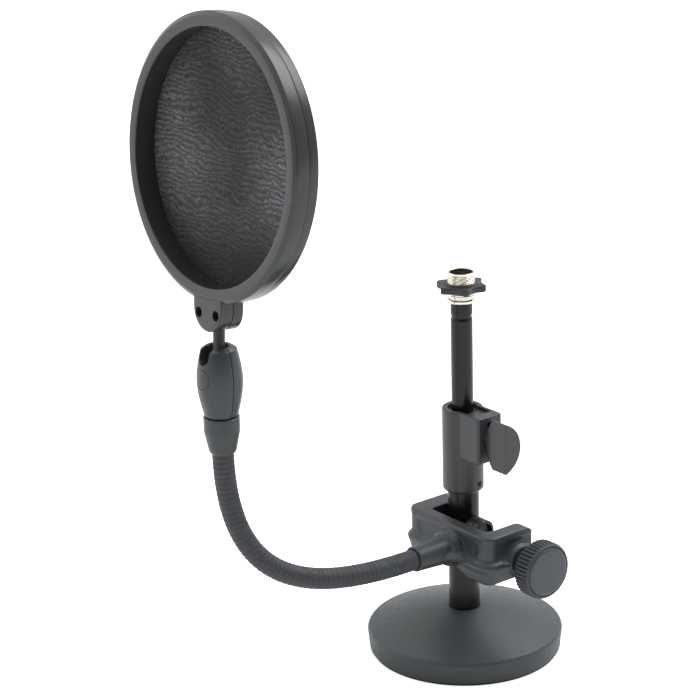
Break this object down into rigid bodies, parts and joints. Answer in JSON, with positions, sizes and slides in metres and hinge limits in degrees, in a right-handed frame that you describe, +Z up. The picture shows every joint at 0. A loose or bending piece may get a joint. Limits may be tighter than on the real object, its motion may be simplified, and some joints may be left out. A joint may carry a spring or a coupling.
{
  "type": "pop filter",
  "caption": "Round fabric pop filter on a ball swivel and gooseneck, clamped to a short weighted table stand with a height collar and a threaded microphone sleeve.",
  "frame": {"origin": "centre of the round base, on the surface that it stands on", "axes": "+Z up along the stand tube; the gooseneck leaves the clamp towards -X and the screen faces -X; the clamp screw and the wing bolt point towards -Y"},
  "size_m": [0.2304, 0.1749, 0.4006],
  "materials": {
    "base_coat": "fine-textured charcoal powder coat",
    "foot_rubber": "matt black rubber",
    "zinc_steel": "zinc-plated steel",
    "black_steel": "black-oxide steel, satin",
    "core_steel": "bright spring steel",
    "tube_lacquer": "semi-gloss black lacquer on steel tube",
    "collar_coat": "satin charcoal moulding",
    "bush_plastic": "plain black plastic",
    "brake_plastic": "natural nylon",
    "brass": "turned brass",
    "nickel": "nickel plate with a warm tone",
    "nut_plastic": "black glass-filled plastic, satin",
    "clamp_plastic": "satin charcoal moulding",
    "cap_plastic": "smooth blue-grey plastic",
    "neck_rubber": "ribbed charcoal sleeve, matt",
    "swivel_plastic": "satin charcoal moulding",
    "ring_plastic": "satin charcoal moulding",
    "screen_nylon": "fine black nylon knit, two layers"
  },
  "bodies": {
    "stand": {"base_plate": "base_coat", "base_pad": "foot_rubber", "base_bolt": "zinc_steel", "base_washer": "zinc_steel", "tube_plug": "zinc_steel", "lower_tube": "tube_lacquer", "collar_body": "collar_coat", "collar_bush": "bush_plastic", "collar_set_screw": "black_steel", "collar_nut": "brass"},
    "mast_foot": {"tube_foot_bush": "bush_plastic"},
    "mast": {"upper_tube": "tube_lacquer", "thread_sleeve": "nickel"},
    "lock_nut": {"lock_nut": "nut_plastic"},
    "brake": {"brake_pad": "brake_plastic"},
    "wing": {"wing_bolt": "zinc_steel", "wing_knob": "collar_coat"},
    "clamp": {"clamp_body": "clamp_plastic", "clamp_nut": "brass", "neck_core_1": "core_steel", "neck_sleeve_1": "neck_rubber"},
    "jaw": {"clamp_pad": "clamp_plastic"},
    "spindle": {"clamp_screw": "black_steel", "clamp_knob": "clamp_plastic", "knob_cap": "cap_plastic"},
    "neck_low": {"neck_core_2": "core_steel", "neck_sleeve_2": "neck_rubber"},
    "neck_mid": {"neck_core_3": "core_steel", "neck_sleeve_3": "neck_rubber"},
    "neck_high": {"neck_core_4": "core_steel", "neck_sleeve_4": "neck_rubber", "swivel_collar": "swivel_plastic"},
    "swivel": {"swivel_front": "swivel_plastic", "swivel_rear": "swivel_plastic", "swivel_screw": "zinc_steel", "swivel_nut": "zinc_steel", "swivel_cap": "swivel_plastic"},
    "ball": {"ball_stud": "black_steel"},
    "head": {"front_ring": "ring_plastic", "rear_ring": "ring_plastic", "front_mesh": "screen_nylon", "rear_mesh": "screen_nylon", "mesh_hoop": "bush_plastic", "lug_screws": "black_steel", "lug_nuts": "zinc_steel"}
  },
  "joints": [
    {"name": "mast_height", "type": "slide", "parent": "stand", "child": "mast_foot", "axis": [0, 0, 1], "range_m": [-0.056, 0.024]},
    {"name": "mast_spin", "type": "hinge", "parent": "mast_foot", "child": "mast", "pos_m": [0, 0, 0.2], "axis": [0, 0, 1], "continuous": true},
    {"name": "lock_nut_spin", "type": "hinge", "parent": "mast", "child": "lock_nut", "pos_m": [0, 0, 0.2242], "axis": [0, 0, 1], "continuous": true},
    {"name": "wing_turn", "type": "hinge", "parent": "brake", "child": "wing", "pos_m": [0, -0.033, 0.137], "axis": [0, -1, 0], "range_deg": [0, 540]},
    {"name": "brake_slide", "type": "slide", "parent": "stand", "child": "brake", "axis": [0, -1, 0], "range_m": [0, 0.0015]},
    {"name": "clamp_height", "type": "slide", "parent": "stand", "child": "clamp", "axis": [0, 0, 1], "range_m": [-0.029, 0.01]},
    {"name": "jaw_slide", "type": "slide", "parent": "clamp", "child": "jaw", "axis": [0, -1, 0], "range_m": [0, 0.02]},
    {"name": "clamp_screw_turn", "type": "hinge", "parent": "jaw", "child": "spindle", "pos_m": [0, -0.06, 0.071], "axis": [0, -1, 0], "range_deg": [0, 5760]},
    {"name": "neck_swing", "type": "hinge", "parent": "clamp", "child": "neck_low", "pos_m": [-0.09576, -0.01199, 0.07651], "axis": [0, 0, 1], "range_deg": [-25, 25]},
    {"name": "neck_bend_low", "type": "hinge", "parent": "neck_low", "child": "neck_mid", "pos_m": [-0.1306, -0.00172, 0.08508], "axis": [0.3768, 0.9263, 0], "range_deg": [-25, 25]},
    {"name": "neck_bend_high", "type": "hinge", "parent": "neck_mid", "child": "neck_high", "pos_m": [-0.15262, 0.00937, 0.11034], "axis": [-0.5292, -0.8485, 0], "range_deg": [-25, 25]},
    {"name": "swivel_spin", "type": "hinge", "parent": "neck_high", "child": "swivel", "pos_m": [-0.16, 0.0145, 0.19], "axis": [0, 0, 1], "continuous": true},
    {"name": "ball_tilt", "type": "hinge", "parent": "swivel", "child": "ball", "pos_m": [-0.16, 0.0145, 0.215], "axis": [0, 0.9968, -0.0803], "range_deg": [-85, 8]},
    {"name": "head_spin", "type": "hinge", "parent": "ball", "child": "head", "pos_m": [-0.16, 0.0145, 0.215], "axis": [0.1118, 0.0798, 0.9905], "continuous": true}
  ],
  "couplings": [
    {"joint": "wing_turn", "follows": "brake_slide", "rad_per_m": 6283.2},
    {"joint": "clamp_screw_turn", "follows": "jaw_slide", "rad_per_m": 5026.5}
  ]
}
